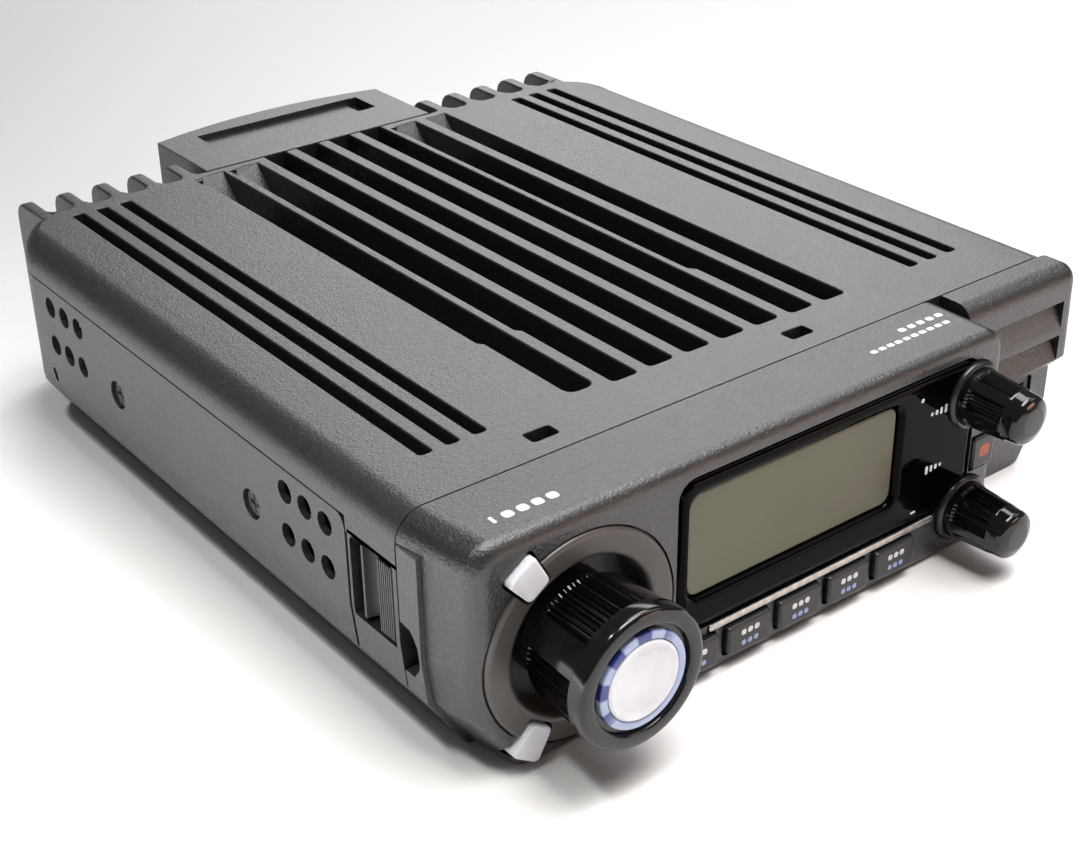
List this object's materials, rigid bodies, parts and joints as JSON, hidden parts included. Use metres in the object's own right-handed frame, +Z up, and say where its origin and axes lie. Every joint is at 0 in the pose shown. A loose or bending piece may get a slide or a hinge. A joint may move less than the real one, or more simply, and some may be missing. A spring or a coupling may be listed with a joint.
{
  "type": "mobile transceiver",
  "caption": "Black mobile two-way radio: finned heat-sink body with side bracket holes, rear fan and sockets, and a slide-off control head with display, tuning dial, knobs and keys.",
  "frame": {"origin": "middle of the flat underside, halfway along the heat-sink plate between the control head's seam and the plate's rear edge", "axes": "+X to the operator's right as they face the control head, +Y from the control head to the rear, +Z up"},
  "size_m": [0.141, 0.1853, 0.04],
  "materials": {
    "cast_metal": "satin black fine texture over die-cast aluminium",
    "painted_steel": "satin black paint",
    "screw_steel": "dull plated",
    "case_plastic": "fine spark-eroded texture",
    "fan_plastic": "smooth",
    "circuit_board": "solder mask",
    "tinned_steel": "tinned",
    "component_black": "smooth",
    "nickel": "nickel plated",
    "gloss_black": "polished",
    "lens": "clear",
    "lcd_grey": "unlit",
    "white_plastic": "translucent",
    "silver_paint": "silver paint",
    "knob_plastic": "semi gloss",
    "keycap_plastic": "satin"
  },
  "bodies": {
    "main_unit": {"antenna_contact": "nickel", "antenna_socket": "nickel", "bottom_cover": "painted_steel", "chassis": "cast_metal", "corner_block": "case_plastic", "cover_screw_left_front": "screw_steel", "cover_screw_left_rear": "screw_steel", "cover_screw_right_front": "screw_steel", "cover_screw_right_rear": "screw_steel", "data_jack": "fan_plastic", "fan_frame": "fan_plastic", "fan_housing": "case_plastic", "head_socket": "fan_plastic", "latch_spring": "screw_steel", "main_board": "circuit_board", "mic_jack": "fan_plastic", "oscillator_shield": "tinned_steel", "power_inlet": "fan_plastic", "power_module": "component_black", "rf_shield": "tinned_steel", "speaker": "component_black", "speaker_jack": "fan_plastic"},
    "head": {"head_case": "case_plastic", "head_rear_case": "case_plastic", "head_board": "circuit_board", "head_plug": "fan_plastic", "volume_pot": "tinned_steel", "squelch_pot": "tinned_steel", "dial_encoder": "tinned_steel", "display_bezel": "gloss_black", "lcd_window": "lens", "lcd_panel": "lcd_grey", "light_guide": "white_plastic", "trim_strip": "silver_paint", "dial_ring": "case_plastic", "volume_collar": "case_plastic", "squelch_collar": "case_plastic"},
    "dial": {"dial_knob": "knob_plastic"},
    "dial_button": {"dial_button": "white_plastic"},
    "volume_knob": {"volume_knob": "knob_plastic"},
    "squelch_knob": {"squelch_knob": "knob_plastic"},
    "front_key_1": {"front_key_1": "keycap_plastic"},
    "front_key_2": {"front_key_2": "keycap_plastic"},
    "front_key_3": {"front_key_3": "keycap_plastic"},
    "front_key_4": {"front_key_4": "keycap_plastic"},
    "front_key_5": {"front_key_5": "keycap_plastic"},
    "upper_key": {"upper_key": "white_plastic"},
    "lower_key": {"lower_key": "white_plastic"},
    "power_key": {"power_key": "keycap_plastic"},
    "release_latch": {"release_latch": "keycap_plastic"},
    "fan_rotor": {"fan_rotor": "fan_plastic"}
  },
  "joints": [
    {"name": "head_release", "type": "slide", "parent": "main_unit", "child": "head", "axis": [0, -1, 0], "range_m": [0, 0.05]},
    {"name": "dial_turn", "type": "hinge", "parent": "head", "child": "dial", "pos_m": [-0.0493, -0.08075, 0.0188], "axis": [0, 1, 0], "continuous": true},
    {"name": "dial_button_press", "type": "slide", "parent": "head", "child": "dial_button", "axis": [0, 1, 0], "range_m": [0, 0.0005], "stiffness_N_per_m": 900, "springref_m": -0.0005},
    {"name": "volume_turn", "type": "hinge", "parent": "head", "child": "volume_knob", "pos_m": [0.0332, -0.08075, 0.0299], "axis": [0, 1, 0], "range_deg": [-150, 150]},
    {"name": "squelch_turn", "type": "hinge", "parent": "head", "child": "squelch_knob", "pos_m": [0.0332, -0.08075, 0.0082], "axis": [0, 1, 0], "range_deg": [-150, 150]},
    {"name": "front_key_1_press", "type": "slide", "parent": "head", "child": "front_key_1", "axis": [0, 1, 0], "range_m": [0, 0.0006], "stiffness_N_per_m": 700, "springref_m": -0.0005},
    {"name": "front_key_2_press", "type": "slide", "parent": "head", "child": "front_key_2", "axis": [0, 1, 0], "range_m": [0, 0.0006], "stiffness_N_per_m": 700, "springref_m": -0.0005},
    {"name": "front_key_3_press", "type": "slide", "parent": "head", "child": "front_key_3", "axis": [0, 1, 0], "range_m": [0, 0.0006], "stiffness_N_per_m": 700, "springref_m": -0.0005},
    {"name": "front_key_4_press", "type": "slide", "parent": "head", "child": "front_key_4", "axis": [0, 1, 0], "range_m": [0, 0.0006], "stiffness_N_per_m": 700, "springref_m": -0.0005},
    {"name": "front_key_5_press", "type": "slide", "parent": "head", "child": "front_key_5", "axis": [0, 1, 0], "range_m": [0, 0.0006], "stiffness_N_per_m": 700, "springref_m": -0.0005},
    {"name": "upper_key_press", "type": "slide", "parent": "head", "child": "upper_key", "axis": [0, 1, 0], "range_m": [0, 0.0006], "stiffness_N_per_m": 700, "springref_m": -0.0005},
    {"name": "lower_key_press", "type": "slide", "parent": "head", "child": "lower_key", "axis": [0, 1, 0], "range_m": [0, 0.0006], "stiffness_N_per_m": 700, "springref_m": -0.0005},
    {"name": "power_key_press", "type": "slide", "parent": "head", "child": "power_key", "axis": [0, 1, 0], "range_m": [0, 0.0006], "stiffness_N_per_m": 700, "springref_m": -0.0005},
    {"name": "latch_slide", "type": "slide", "parent": "main_unit", "child": "release_latch", "axis": [0, 1, 0], "range_m": [0, 0.002], "stiffness_N_per_m": 400, "springref_m": -0.001, "deforming": ["latch_spring"]},
    {"name": "fan_spin", "type": "hinge", "parent": "main_unit", "child": "fan_rotor", "pos_m": [0, 0.07375, 0.0195], "axis": [0, 1, 0], "continuous": true}
  ]
}
